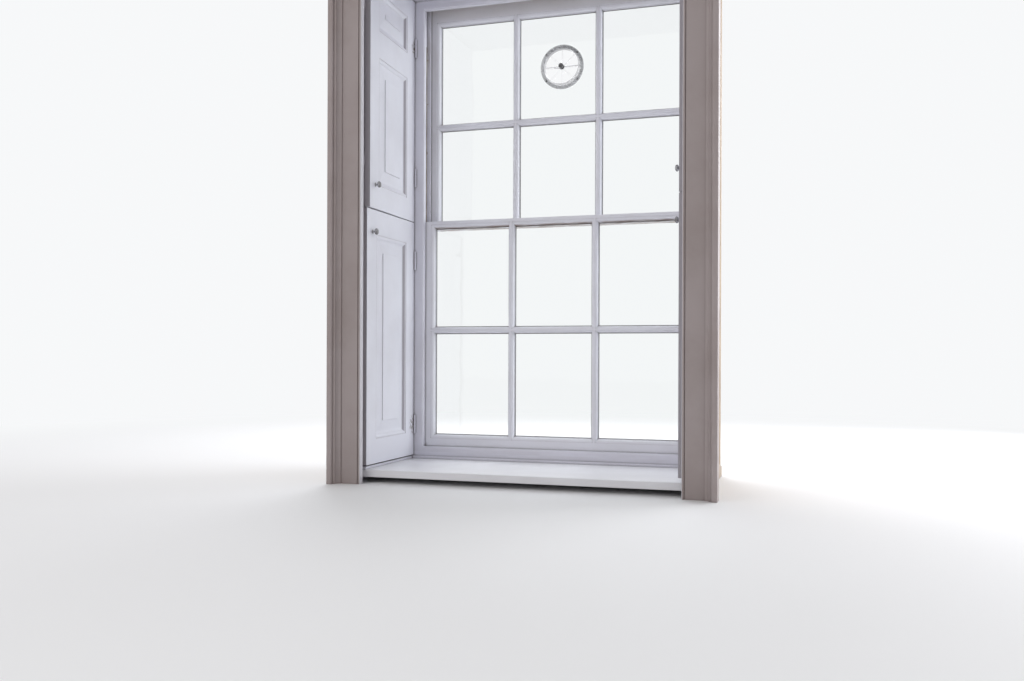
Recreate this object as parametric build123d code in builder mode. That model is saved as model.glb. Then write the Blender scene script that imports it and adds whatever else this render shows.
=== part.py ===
from build123d import *
import os
from math import cos, pi, radians, sin

os.makedirs("parts", exist_ok=True)

# A hung sash window with its box frame, weights, folding shutters and architrave.
# X runs across the window, Y from the room to the street, Z up from the underside of the sill.

# Glass and sash members, millimetres
pane_width = 294
bar_width = 25
sash_thickness = 40
stile_width = 50
moulding = 15
moulding_fillet = 2
rebate_width = 8
glass_line = 22
glass_thickness = 3
sight_half = (3 * pane_width + 2 * bar_width) / 2
sash_half = sight_half + stile_width
bar_pitch = pane_width + bar_width

# Heights
board_top = 45
board_thickness = 25
sill_upstand = 71
sash_seat = 61.5
lower_bottom = 63
lower_sight = 136
lower_bar = 522
meeting_bottom = 924
meeting_top = 951
upper_bar = 1310
upper_sight = 1715
upper_top = 1783
head_face = 1784.5
head_bead_bottom = 1757
head_bead_top = 1777
soffit_bottom = 1793
frame_top = 1835
architrave_inner = 1797.5

# Depths
total_depth = 669
sill_nose = total_depth / 2
lower_face = 175.5
running_gap = 1.5
parting_thickness = 10
parting_front = lower_face + sash_thickness + running_gap
upper_face = parting_front + parting_thickness + running_gap
box_front = lower_face - running_gap
box_back = upper_face + sash_thickness + running_gap
lining_thickness = 20
lining_front = box_front - lining_thickness
wall_face = -282.5
board_front = -255.5

# Widths measured from the middle of the window
pulley_face = sash_half + running_gap
bead_edge = 502.5
lining_edge = 522.5
leaf_face = 540.5
boxing_face = 590
frame_half = 602
architrave_half = 652
architrave_edge = 541

# Sash furniture
pulley_height = 1616
plate_width = 26
plate_height = 116
plate_thickness = 3
cord_radius = 3
cord_turn = 27
cord_front = 510.5
wheel_centre = cord_front + cord_turn
cord_back = wheel_centre + cord_turn
weight_radius = 20
lower_weight_length = 570
upper_weight_length = 610
weight_low = 90
sash_travel = 832
cord_groove_face = cord_front - cord_radius
lower_channel = lower_face + sash_thickness / 2
upper_channel = upper_face + sash_thickness / 2

# Shutters
leaf_thickness = 22
leaf_start = 151
leaf_end = -255
flap_thickness = 18
flap_face = 565.5
flap_width = 124
leaf_pin = (535.5, 149.5)
flap_pin = (564, -257.2)
lower_leaf = (59, 945)
upper_leaf = (948, 1790)
leaf_stile = 75
panel_moulding = 27
panel_bevel = 34
sinking = 9
bevel_top = 5
field_depth = 2
panel_back = 3

# Rings, small turned pieces, knuckles and cords are drawn with flats; pins are round
ring_sides = 40
turned_sides = 20
knuckle_sides = 8
cord_sides = 6


def save(piece, name):
    piece.part.label = name
    export_step(piece.part, f"parts/{name}.step")


def save_group(name, *pieces):
    group = Compound([solid for piece in pieces for solid in piece.solids()])
    group.label = name
    export_step(group, f"parts/{name}.step")


def block(x_range, y_range, z_range, mode=Mode.ADD):
    sizes = [high - low for low, high in (x_range, y_range, z_range)]
    middle = [(high + low) / 2 for low, high in (x_range, y_range, z_range)]
    with Locations(tuple(middle)):
        Box(*sizes, mode=mode)


def span(side, near, far):
    return tuple(sorted((side * near, side * far)))


def mirrored(piece):
    with BuildPart() as other:
        mirror(piece.part, about=Plane.YZ)
    return other


def save_pair(left, name):
    save(left, f"left_{name}")
    right = mirrored(left)
    save(right, f"right_{name}")
    return right


# Sill of one oak piece: upstand behind the window board, flat seat under the sashes,
# weathered slope to the nose and a drip groove below
with BuildPart() as sill:
    with BuildSketch(Plane.YZ.offset(-frame_half)):
        with BuildLine():
            Polyline(
                (lining_front, 0), (lining_front, sill_upstand), (box_front, sill_upstand),
                (box_front, sash_seat), (220.5, sash_seat), (220.5, 57), (sill_nose - 5, 38),
            )
            TangentArc((sill_nose - 5, 38), (sill_nose, 33), tangent=(1, -0.16))
            Polyline(
                (sill_nose, 33), (sill_nose, 4), (sill_nose - 4, 0), (sill_nose - 14, 0),
                (sill_nose - 17, 5), (sill_nose - 20, 0), (lining_front, 0),
            )
        make_face()
    extrude(amount=2 * frame_half)
save(sill, "sill")

# Head of the box, over both pulley stiles
with BuildPart() as head_board:
    block((-boxing_face, boxing_face), (box_front, box_back), (head_face, head_face + 22))
save(head_board, "head_board")

# Pulley stiles with the groove for the parting bead, the pulley mortices and the weight pocket
pocket_low = 150
pocket_high = 560
with BuildPart() as pulley_stile:
    block((-pulley_face - 22, -pulley_face), (box_front, box_back), (30, head_face))
    add(sill.part, mode=Mode.SUBTRACT)
    block((-pulley_face - 6, -pulley_face), (parting_front, parting_front + parting_thickness),
          (30, head_face), mode=Mode.SUBTRACT)
    for channel in (lower_channel, upper_channel):
        block((-pulley_face - 22, -pulley_face), (channel - 11, channel + 11),
              (pulley_height - 32, pulley_height + 32), mode=Mode.SUBTRACT)
        block((-pulley_face - plate_thickness, -pulley_face),
              (channel - plate_width / 2, channel + plate_width / 2),
              (pulley_height - plate_height / 2, pulley_height + plate_height / 2),
              mode=Mode.SUBTRACT)
    for height in (pocket_low, pocket_high):
        block((-pulley_face - 22, -pulley_face), (parting_front + parting_thickness, box_back),
              (height, height + 0.8), mode=Mode.SUBTRACT)
save_pair(pulley_stile, "pulley_stile")

# Inner linings close the box towards the room
with BuildPart() as inner_lining:
    block((-frame_half, -lining_edge), (lining_front, box_front), (sill_upstand, head_bead_top))
save_pair(inner_lining, "inner_lining")
with BuildPart() as head_inner_lining:
    block((-frame_half, frame_half), (lining_front, box_front), (head_bead_top, frame_top))
save(head_inner_lining, "head_inner_lining")

# Outer linings stop the upper sash and stand proud of the pulley stiles, beaded on the edge
outer_edge = pulley_face - 12
with BuildPart() as outer_lining:
    block((-frame_half, -outer_edge), (box_back, box_back + lining_thickness), (20, frame_top))
    add(sill.part, mode=Mode.SUBTRACT)
    outer_corner = outer_lining.edges().filter_by(Axis.Z).sort_by(lambda e: e.center().X + e.center().Y)
    fillet(outer_corner[-1], radius=6)
right_outer_lining = save_pair(outer_lining, "outer_lining")
with BuildPart() as head_outer_lining:
    block((-outer_edge, outer_edge), (box_back, box_back + lining_thickness),
          (head_face - 12, frame_top))
    lower_edges = head_outer_lining.edges().filter_by(Axis.X).group_by(Axis.Z)[0]
    fillet(lower_edges.sort_by(Axis.Y)[-1], radius=6)
    add(outer_lining.part, mode=Mode.SUBTRACT)
    add(right_outer_lining.part, mode=Mode.SUBTRACT)
save(head_outer_lining, "head_outer_lining")

# Thin back linings on the wall side of the weight boxes
with BuildPart() as back_lining:
    block((-frame_half, -boxing_face), (box_front, box_back), (20, head_face + 22))
    add(sill.part, mode=Mode.SUBTRACT)
save_group("back_linings", back_lining, mirrored(back_lining))

# Parting beads, housed in the pulley stiles between the two sashes
with BuildPart() as parting_beads:
    for side in (-1, 1):
        block(span(side, bead_edge, pulley_face + 6),
              (parting_front, parting_front + parting_thickness), (30, head_face))
    add(sill.part, mode=Mode.SUBTRACT)
    corners = parting_beads.edges().filter_by(Axis.Z)
    chamfer(corners.group_by(lambda e: abs(round(e.center().X, 2)))[0], length=2)
save(parting_beads, "parting_beads")

# Parting slips hang in the boxes and keep the two weights apart
with BuildPart() as parting_slips:
    for side in (-1, 1):
        block(span(side, 543, 587), (219, 225), (100, head_face))
save(parting_slips, "parting_slips")


# Room-side beads: staff beads mitred round the lower sash, and flat fillets along the board
def staff_bead_outline(place):
    Polyline(place(8, 0), place(20, 0), place(20, 20), place(0, 20), place(0, 8))
    ThreePointArc(place(0, 8), place(2.34, 2.34), place(8, 0))


bead_size = 20
bead_heights = ((sill_upstand + bead_size, 1), (head_bead_bottom, -1))
with BuildPart() as left_bead:
    with BuildSketch(Plane.XY.offset(sill_upstand)):
        with BuildLine():
            staff_bead_outline(lambda u, v: (-bead_edge - u, lining_front + v))
        make_face()
    extrude(amount=head_bead_top - sill_upstand)
    for height, rise in bead_heights:
        split(bisect_by=Plane(origin=(-bead_edge, 0, height), z_dir=(-1, 0, rise)),
              keep=Keep.TOP)
cross_beads = []
for height, rise in bead_heights:
    with BuildPart() as cross_bead:
        with BuildSketch(Plane.YZ.offset(-lining_edge)):
            with BuildLine():
                staff_bead_outline(lambda u, v: (lining_front + v, height - u * rise))
            make_face()
        extrude(amount=2 * lining_edge)
        for side in (-1, 1):
            split(bisect_by=Plane(origin=(side * bead_edge, 0, height), z_dir=(side, 0, rise)),
                  keep=Keep.BOTTOM)
    cross_beads.append(cross_bead)
fillet_height = 9.5
with BuildPart() as board_fillets:
    with BuildSketch(Plane.YZ.offset(-boxing_face)):
        with BuildLine():
            Polyline(
                (142, board_top), (142, board_top + 7), (144.5, board_top + fillet_height),
                (lining_front, board_top + fillet_height), (lining_front, board_top),
                (142, board_top),
            )
        make_face()
    extrude(amount=2 * boxing_face)
with BuildPart() as side_fillets:
    for side in (-1, 1):
        block(span(side, leaf_face + 2, boxing_face), (board_front, 142),
              (board_top, board_top + fillet_height))
save_group("staff_beads", left_bead, mirrored(left_bead), *cross_beads,
           board_fillets, side_fillets)

# Window board, tongued to the sill, with its front edge eased
board_bottom = board_top - board_thickness
with BuildPart() as window_board:
    block((-boxing_face, boxing_face), (board_front, lining_front), (board_bottom, board_top))
    front_edges = window_board.edges().filter_by(Axis.X).group_by(Axis.Y)[0]
    fillet(front_edges.sort_by(Axis.Z)[-1], radius=3)
    fillet(front_edges.sort_by(Axis.Z)[0], radius=2)
save(window_board, "window_board")

# Boxing linings behind the folded shutters, and the soffit lining over them
with BuildPart() as boxing_lining:
    block((-frame_half, -boxing_face), (wall_face, lining_front), (0, soffit_bottom))
save_group("boxing_linings", boxing_lining, mirrored(boxing_lining))
with BuildPart() as soffit_lining:
    block((-frame_half, frame_half), (wall_face, lining_front),
          (soffit_bottom, soffit_bottom + 15))
save(soffit_lining, "soffit_lining")

# Architrave: beaded inner edge, flat, cyma and a raised back band, mitred over the window.
# Its back is relieved where the lining ends, and only the strip outside that bears on the wall.
architrave_width = architrave_half - architrave_edge
architrave_top = architrave_inner + architrave_width
band_front = -sill_nose
lining_lap = frame_half - architrave_edge
relief_width = 8
relief_depth = 2


def architrave_outline(place):
    Polyline(
        place(9, wall_face - 17.5), place(10.5, wall_face - 17.5), place(10.5, wall_face - 21),
        place(70, wall_face - 21), place(70, wall_face - 25), place(72, wall_face - 25),
    )
    ThreePointArc(place(72, wall_face - 25), place(80, wall_face - 30), place(84, wall_face - 42))
    Polyline(
        place(84, wall_face - 42), place(92, wall_face - 42), place(92, wall_face - 46),
    )
    ThreePointArc(place(92, wall_face - 46), place(93.8, band_front + 1.8), place(98, band_front))
    Polyline(
        place(98, band_front), place(architrave_width - 2, band_front),
        place(architrave_width, band_front + 2), place(architrave_width, wall_face),
        place(lining_lap + relief_width, wall_face),
        place(lining_lap + relief_width, wall_face - relief_depth),
        place(lining_lap, wall_face - relief_depth), place(lining_lap, wall_face),
        place(0, wall_face), place(0, wall_face - 17.5),
    )
    ThreePointArc(
        place(0, wall_face - 17.5), place(4.5, wall_face - 22), place(9, wall_face - 17.5))


with BuildPart() as architrave:
    with BuildSketch(Plane.XY):
        with BuildLine():
            architrave_outline(lambda u, y: (-architrave_edge - u, y))
        make_face()
    extrude(amount=architrave_top)
    split(bisect_by=Plane(origin=(-architrave_edge, 0, architrave_inner), z_dir=(1, 0, 1)),
          keep=Keep.BOTTOM)
with BuildPart() as head_architrave:
    with BuildSketch(Plane.YZ.offset(-architrave_half)):
        with BuildLine():
            architrave_outline(lambda u, y: (y, architrave_inner + u))
        make_face()
    extrude(amount=2 * architrave_half)
    for side in (-1, 1):
        split(bisect_by=Plane(origin=(side * architrave_edge, 0, architrave_inner),
                              z_dir=(-side, 0, 1)), keep=Keep.TOP)
save_pair(architrave, "architrave")
save(head_architrave, "head_architrave")


# Sashes: every member is moulded towards the room and rebated for glass towards the street
def member_outline(place, width):
    curve = moulding - (moulding - moulding_fillet) * cos(radians(45))
    Polyline(
        place(moulding, moulding_fillet), place(moulding, 0), place(width, 0),
        place(width, sash_thickness), place(rebate_width, sash_thickness),
        place(rebate_width, glass_line), place(0, glass_line), place(0, moulding),
        place(moulding_fillet, moulding),
    )
    ThreePointArc(
        place(moulding_fillet, moulding), place(curve, curve), place(moulding, moulding_fillet))


def bar_outline(place):
    nose = 3.5
    tail = 4.5
    half = bar_width / 2
    swell = nose + (half - moulding_fillet - nose) * cos(radians(45))
    depth = moulding - (moulding - moulding_fillet) * sin(radians(45))
    for hand in (-1, 1):
        Polyline(
            place(0, 0), place(hand * nose, 0), place(hand * nose, moulding_fillet))
        ThreePointArc(
            place(hand * nose, moulding_fillet), place(hand * swell, depth),
            place(hand * (half - moulding_fillet), moulding))
        Polyline(
            place(hand * (half - moulding_fillet), moulding), place(hand * half, moulding),
            place(hand * half, glass_line), place(hand * tail, glass_line),
            place(hand * tail, sash_thickness), place(0, sash_thickness))


def sash_stile(face, low, high, groove_end):
    channel = face + sash_thickness / 2
    with BuildPart() as stile:
        with BuildSketch(Plane.XY.offset(low)):
            with BuildLine():
                member_outline(lambda u, v: (-sight_half - u, face + v), stile_width)
            make_face()
        extrude(amount=high - low)
        block((-sash_half, -cord_groove_face), (channel - 9, channel + 9),
              (groove_end, high), mode=Mode.SUBTRACT)
    return stile


def rail_between(stiles, draw):
    reach = sight_half + moulding
    with BuildPart() as rail:
        with BuildSketch(Plane.YZ.offset(-reach)):
            with BuildLine():
                draw()
            make_face()
        extrude(amount=2 * reach)
        for stile in stiles:
            add(stile.part, mode=Mode.SUBTRACT)
    return rail


def glazing_bars(name, face, low, bar, high, members):
    with BuildPart() as uprights:
        with BuildSketch(Plane.XY.offset(low - moulding)):
            for middle in (-bar_pitch / 2, bar_pitch / 2):
                with BuildLine():
                    bar_outline(lambda u, v: (middle + u, face + v))
                make_face()
        extrude(amount=high - low + 2 * moulding)
        for member in members:
            add(member.part, mode=Mode.SUBTRACT)
    with BuildPart() as cross_bars:
        with BuildSketch(Plane.YZ.offset(-sight_half - moulding)):
            with BuildLine():
                bar_outline(lambda u, v: (face + v, bar + bar_width / 2 + u))
            make_face()
        extrude(amount=2 * (sight_half + moulding))
        add(uprights.part, mode=Mode.SUBTRACT)
        for member in members:
            add(member.part, mode=Mode.SUBTRACT)
    save_group(name, uprights, cross_bars)


def panes(name, face, rows, hole=None):
    seat = 6
    front = face + glass_line
    with BuildPart() as glass:
        for low, high in rows:
            for column in (-1, 0, 1):
                block((column * bar_pitch - pane_width / 2 - seat,
                       column * bar_pitch + pane_width / 2 + seat),
                      (front, front + glass_thickness), (low - seat, high + seat))
        if hole:
            x, z, radius = hole
            with BuildSketch(Plane.XZ.offset(-front - glass_thickness)) as opening:
                with Locations((x, z)):
                    RegularPolygon(radius, ring_sides)
            extrude(opening.sketch, amount=glass_thickness, mode=Mode.SUBTRACT)
    save(glass, name)


lower_left_stile = sash_stile(lower_face, lower_bottom, meeting_top, 720)
lower_right_stile = mirrored(lower_left_stile)
save(lower_left_stile, "lower_sash_left_stile")
save(lower_right_stile, "lower_sash_right_stile")
lower_stiles = (lower_left_stile, lower_right_stile)

bottom_rail = rail_between(
    lower_stiles,
    lambda: member_outline(lambda u, v: (lower_face + v, lower_sight - u),
                           lower_sight - lower_bottom))
save(bottom_rail, "lower_sash_bottom_rail")

# Meeting rails close on a bevel: the lower one bears down on the upper one.
# The pane slides up into a groove in the lower meeting rail.
bevel_low = 41
bevel_high = 51
bevel_gap = 1.2
rail_height = meeting_top - meeting_bottom


def lower_meeting_outline():
    def place(u, v):
        return (lower_face + v, meeting_bottom + u)
    curve = moulding - (moulding - moulding_fillet) * cos(radians(45))
    Polyline(
        place(moulding, moulding_fillet), place(moulding, 0), place(rail_height, 0),
        place(rail_height, bevel_high), place(0, bevel_low), place(0, glass_line + 4),
        place(rebate_width, glass_line + 4), place(rebate_width, glass_line),
        place(0, glass_line), place(0, moulding), place(moulding_fillet, moulding))
    ThreePointArc(
        place(moulding_fillet, moulding), place(curve, curve), place(moulding, moulding_fillet))


def upper_meeting_outline():
    bevel_foot = lower_face + bevel_low + bevel_gap
    bevel_head = lower_face + bevel_high + bevel_gap
    Polyline(
        (bevel_foot, meeting_bottom), (upper_face + sash_thickness, meeting_bottom),
        (upper_face + sash_thickness, meeting_top - rebate_width),
        (upper_face + glass_line, meeting_top - rebate_width),
        (upper_face + glass_line, meeting_top), (bevel_head, meeting_top),
        (bevel_foot, meeting_bottom))


lower_meeting_rail = rail_between(lower_stiles, lower_meeting_outline)
save(lower_meeting_rail, "lower_sash_meeting_rail")

upper_left_stile = sash_stile(upper_face, meeting_bottom, upper_top, 1420)
upper_right_stile = mirrored(upper_left_stile)
save(upper_left_stile, "upper_sash_left_stile")
save(upper_right_stile, "upper_sash_right_stile")
upper_stiles = (upper_left_stile, upper_right_stile)

top_rail = rail_between(
    upper_stiles,
    lambda: member_outline(lambda u, v: (upper_face + v, upper_sight + u),
                           upper_top - upper_sight))
save(top_rail, "upper_sash_top_rail")
upper_meeting_rail = rail_between(upper_stiles, upper_meeting_outline)
save(upper_meeting_rail, "upper_sash_meeting_rail")

glazing_bars("lower_sash_glazing_bars", lower_face, lower_sight, lower_bar, meeting_bottom,
             (*lower_stiles, bottom_rail, lower_meeting_rail))
glazing_bars("upper_sash_glazing_bars", upper_face, meeting_top, upper_bar, upper_sight,
             (*upper_stiles, top_rail, upper_meeting_rail))

vent_x = 16
vent_z = 1523
vent_neck = 70
panes("lower_sash_panes", lower_face,
      ((lower_sight, lower_bar), (lower_bar + bar_width, meeting_bottom)))
panes("upper_sash_panes", upper_face,
      ((meeting_top, upper_bar), (upper_bar + bar_width, upper_sight)),
      hole=(vent_x, vent_z, vent_neck + 1))

# Window ventilator: a clear ring clamped in the pane, a bridge across it and a wind rotor.
# Its hub stands well out into the room.
vent_front = upper_face + glass_line
vent_axis = Plane(origin=(vent_x, vent_front, vent_z), x_dir=(1, 0, 0), z_dir=(0, -1, 0))
vent_flange = 83
vent_tube = 72
vent_back = 81
vent_wall = 66.5
flange_thickness = 3
vent_room = 19
vent_street = 12
hub_radius = 9
hub_reach = 22
spindle_radius = 2
with BuildPart() as ventilator_frame:
    with BuildSketch(vent_axis):
        RegularPolygon(vent_flange, ring_sides)
    extrude(amount=flange_thickness)
    with BuildSketch(vent_axis.offset(flange_thickness)):
        RegularPolygon(vent_tube, ring_sides)
    extrude(amount=vent_room - flange_thickness)
    with BuildSketch(vent_axis):
        RegularPolygon(vent_neck, ring_sides)
    extrude(amount=-glass_thickness)
    with BuildSketch(vent_axis.offset(-glass_thickness)):
        RegularPolygon(vent_back, ring_sides)
    extrude(amount=glass_thickness - vent_street)
    with BuildSketch(vent_axis.offset(-vent_street)):
        RegularPolygon(vent_wall, ring_sides)
    extrude(amount=vent_street + vent_room, mode=Mode.SUBTRACT)
    with BuildSketch(vent_axis):
        Rectangle(2 * vent_wall + 2, 4)
        RegularPolygon(hub_radius, turned_sides)
    extrude(amount=flange_thickness)
    with BuildSketch(vent_axis.offset(flange_thickness)):
        RegularPolygon(hub_radius - 4, turned_sides)
    extrude(amount=hub_reach - 10 - flange_thickness)
    with BuildSketch(vent_axis.offset(hub_reach - 10)):
        RegularPolygon(hub_radius, turned_sides)
    extrude(amount=10)
    with BuildSketch(vent_axis):
        Circle(spindle_radius)
    extrude(amount=1 - vent_street)
save(ventilator_frame, "ventilator_frame")

vane_count = 8
vane_pitch = radians(38)
vane_root = 7
vane_tip = vent_wall - 2
rotor_front = 1
rotor_depth = 9
vane_chord = 9
with BuildPart() as ventilator_rotor:
    with BuildSketch(vent_axis.offset(-rotor_front)):
        RegularPolygon(hub_radius, turned_sides)
    extrude(amount=-rotor_depth)
    for index in range(vane_count):
        turn = 2 * pi / vane_count * index
        vane_plane = Plane(
            origin=(vent_x + vane_root * cos(turn), vent_front + rotor_front + rotor_depth / 2,
                    vent_z + vane_root * sin(turn)),
            x_dir=(-sin(turn) * cos(vane_pitch), -sin(vane_pitch), cos(turn) * cos(vane_pitch)),
            z_dir=(cos(turn), 0, sin(turn)))
        with BuildSketch(vane_plane):
            Rectangle(vane_chord, 1.2)
        extrude(amount=vane_tip - vane_root)
    with BuildSketch(vent_axis):
        RegularPolygon(spindle_radius + 0.4, knuckle_sides)
    extrude(amount=-vent_street, mode=Mode.SUBTRACT)
save(ventilator_rotor, "ventilator_rotor")

# Sash pulleys: cases with a brass face plate let into the stiles, and grooved wheels on pins
case_half = 32
cheek_near = 8
cheek_far = 11
cheek_reach = 556
axle_radius = 3
with BuildPart() as pulley_cases:
    for side in (-1, 1):
        for channel in (lower_channel, upper_channel):
            with BuildSketch(Plane.YZ.offset(side * pulley_face)):
                with Locations((channel, pulley_height)):
                    Rectangle(plate_width, plate_height)
                    Rectangle(2 * cheek_near, 2 * case_half - 2, mode=Mode.SUBTRACT)
            extrude(amount=side * plate_thickness)
            for cheek in (-1, 1):
                block(span(side, pulley_face + plate_thickness, cheek_reach),
                      tuple(sorted((channel + cheek * cheek_near, channel + cheek * cheek_far))),
                      (pulley_height - case_half, pulley_height + case_half))
            with BuildSketch(Plane.XZ.offset(-channel - cheek_near)):
                with Locations((side * wheel_centre, pulley_height)):
                    Circle(axle_radius)
            extrude(amount=2 * cheek_near)
save(pulley_cases, "pulley_cases")

# The wheel's groove is as wide as the cord and a little deeper than its half
rim_radius = 29
groove_radius = cord_turn - cord_radius - 0.6
wheel_half = 7
rim_width = 3


def pulley_wheel(name, side, channel):
    centre = (side * wheel_centre, pulley_height)
    with BuildPart() as wheel:
        for start, width, radius in (
            (-wheel_half, rim_width, rim_radius),
            (rim_width - wheel_half, 2 * (wheel_half - rim_width), groove_radius),
            (wheel_half - rim_width, rim_width, rim_radius),
        ):
            with BuildSketch(Plane.XZ.offset(start - channel)):
                with Locations(centre):
                    RegularPolygon(radius, turned_sides)
            extrude(amount=width)
        with BuildSketch(Plane.XZ.offset(-wheel_half - channel)):
            with Locations(centre):
                RegularPolygon(axle_radius + 0.3, knuckle_sides)
        extrude(amount=2 * wheel_half, mode=Mode.SUBTRACT)
    save(wheel, name)


for hand, side in (("left", -1), ("right", 1)):
    pulley_wheel(f"lower_sash_{hand}_pulley", side, lower_channel)
    pulley_wheel(f"upper_sash_{hand}_pulley", side, upper_channel)


# Cast-iron weights: a plain cylinder with a flat lug on top, holed for its cord
lug_height = 30
lug_width = 18
lug_thickness = 10
eye_radius = 4


def sash_weight(name, side, channel, low, length):
    centre = (side * cord_back, channel)
    shoulder = low + length - lug_height
    with BuildPart() as weight:
        with BuildSketch(Plane.XY.offset(low)):
            with Locations(centre):
                RegularPolygon(weight_radius, turned_sides)
        extrude(amount=shoulder - low)
        chamfer(weight.edges().group_by(Axis.Z)[-1], length=5)
        with BuildSketch(Plane.XY.offset(shoulder)):
            with Locations(centre):
                Rectangle(lug_width, lug_thickness)
        extrude(amount=lug_height)
        with BuildSketch(Plane.XZ.offset(-channel - lug_thickness / 2)):
            with Locations((side * cord_back, low + length - lug_width / 2)):
                RegularPolygon(eye_radius, knuckle_sides)
        extrude(amount=lug_thickness, mode=Mode.SUBTRACT)
    save(weight, name)


for hand, side in (("left", -1), ("right", 1)):
    sash_weight(f"lower_sash_{hand}_weight", side, lower_channel, weight_low + sash_travel,
                lower_weight_length)
    sash_weight(f"upper_sash_{hand}_weight", side, upper_channel, weight_low,
                upper_weight_length)


# Cords: from the groove in the sash up and over the wheel, then down to the weight
def sash_cords(name, channel, tied_height):
    with BuildPart() as cords:
        for side in (-1, 1):
            with BuildSketch(Plane.XY.offset(tied_height)):
                with Locations((side * cord_front, channel)):
                    RegularPolygon(cord_radius, cord_sides)
            extrude(amount=pulley_height - tied_height)
            with BuildSketch(Plane.XY.offset(pulley_height)):
                with Locations((side * cord_front, channel)):
                    RegularPolygon(cord_radius, cord_sides)
            revolve(axis=Axis((side * wheel_centre, channel, pulley_height), (0, side, 0)),
                    revolution_arc=180)
    save(cords, name)


def weight_cords(name, channel, weight_top):
    with BuildPart() as cords:
        with BuildSketch(Plane.XY.offset(weight_top)):
            with Locations((-cord_back, channel), (cord_back, channel)):
                RegularPolygon(cord_radius, cord_sides)
        extrude(amount=pulley_height - weight_top)
    save(cords, name)


sash_cords("lower_sash_cords", lower_channel, 735)
sash_cords("upper_sash_cords", upper_channel, 1440)
weight_cords("lower_sash_weight_cords", lower_channel,
             weight_low + sash_travel + lower_weight_length)
weight_cords("upper_sash_weight_cords", upper_channel, weight_low + upper_weight_length)

# Shutters, drawn folded back on the left side of the window, then swung to where they hang
hinge_height = 70
knuckle = hinge_height / 3
knuckle_radius = 4
pin_radius = 1.5
hinge_plate = 1.4
fold_half = 25
fold_knuckle = 8
fold_plate = 1.2
fold_radius = 2
joint_play = 0.3
upper_panels = ((948 + 82, 948 + 531), (948 + 625, 1790 - 79))
lower_panels = ((59 + 86, 945 - 84),)
leaf_hinges = {"lower": (175, 800), "upper": (1117, 1612)}
flap_hinges = {"lower": (200, 800), "upper": (1100, 1640)}
ajar = {"left_lower": 0, "left_upper": 1.5, "right_lower": 2.3, "right_upper": 2.3}


def knuckle_tube(centre, radius, low, high, mode=Mode.ADD):
    with BuildSketch(Plane.XY.offset(low)) as ring:
        with Locations(centre):
            RegularPolygon(radius, knuckle_sides)
    extrude(ring.sketch, amount=high - low, mode=mode)


def hinge_pin(centre, radius, low, high):
    with BuildSketch(Plane.XY.offset(low)) as disc:
        with Locations(centre):
            Circle(radius)
    extrude(disc.sketch, amount=high - low)


# Each panel is sunk in one mitred run: quirk, ovolo and cavetto on the frame of the leaf,
# then the bevel that rises to the edge of the raised field
def moulded_sinking(face, width, bottom, top):
    field_edge = panel_moulding + panel_bevel
    with BuildLine(face) as edge:
        Polyline((0, bottom), (width / 2, bottom), (width / 2, top),
                 (-width / 2, top), (-width / 2, bottom), (0, bottom))
    start = Plane(origin=face.from_local_coords((0, bottom, 0)), x_dir=face.y_dir, z_dir=face.x_dir)
    with BuildSketch(start) as section:
        with BuildLine():
            Polyline((0, 0), (0, -2), (2.5, -2), (2.5, -0.8))
            ThreePointArc((2.5, -0.8), (9, -2.3), (13.5, -6.2))
            Line((13.5, -6.2), (13.5, -7.2))
            ThreePointArc((13.5, -7.2), (18, -8.6), (25, -sinking))
            Polyline((25, -sinking), (panel_moulding, -sinking), (field_edge, -bevel_top),
                     (field_edge, 0), (0, 0))
        make_face()
    sweep(section.sketch, path=edge.wires()[0], transition=Transition.RIGHT, mode=Mode.SUBTRACT)


def panel_sketch(plane, centre, width, height):
    with BuildSketch(plane) as outline:
        with Locations(centre):
            Rectangle(width, height)
    return outline.sketch


def folded_leaf(limits, panels, hinges, fold_hinges):
    low, high = limits
    middle_y = (leaf_start + leaf_end) / 2
    face = Plane(origin=(-leaf_face, middle_y, 0), x_dir=(0, 1, 0), z_dir=(1, 0, 0))
    back = -leaf_face - leaf_thickness
    pin = (-leaf_pin[0], leaf_pin[1])
    fold_pin = (-flap_pin[0], flap_pin[1])
    width = leaf_start - leaf_end - 2 * leaf_stile
    with BuildPart() as leaf:
        block((back, -leaf_face), (leaf_end, leaf_start), (low, high))
        for bottom, top in panels:
            centre = (0, (bottom + top) / 2)
            height = top - bottom
            field = 2 * (panel_moulding + panel_bevel)
            moulded_sinking(face, width, bottom, top)
            extrude(panel_sketch(face, centre, width - field, height - field),
                    amount=-field_depth, mode=Mode.SUBTRACT)
            extrude(panel_sketch(face.offset(-leaf_thickness), centre, width, height),
                    amount=panel_back, mode=Mode.SUBTRACT)
        for height in hinges:
            foot = height - hinge_height / 2
            low_joint = foot + knuckle + joint_play
            high_joint = foot + 2 * knuckle - joint_play
            block((-560, -leaf_face), (leaf_start, leaf_start + hinge_plate),
                  (foot, foot + hinge_height))
            block((-leaf_face, -leaf_pin[0]), (leaf_start, leaf_start + hinge_plate),
                  (low_joint, high_joint))
            knuckle_tube(pin, knuckle_radius, low_joint, high_joint)
            knuckle_tube(pin, pin_radius + 0.2, low_joint, high_joint, mode=Mode.SUBTRACT)
        for height in fold_hinges:
            block((back - fold_plate, back), (leaf_end, leaf_end + 20),
                  (height - fold_half, height + fold_half))
            block((back - fold_plate, back), (flap_pin[1], leaf_end),
                  (height - fold_knuckle, height + fold_knuckle))
            knuckle_tube(fold_pin, fold_radius, height - fold_knuckle, height + fold_knuckle)
    return leaf


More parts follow.
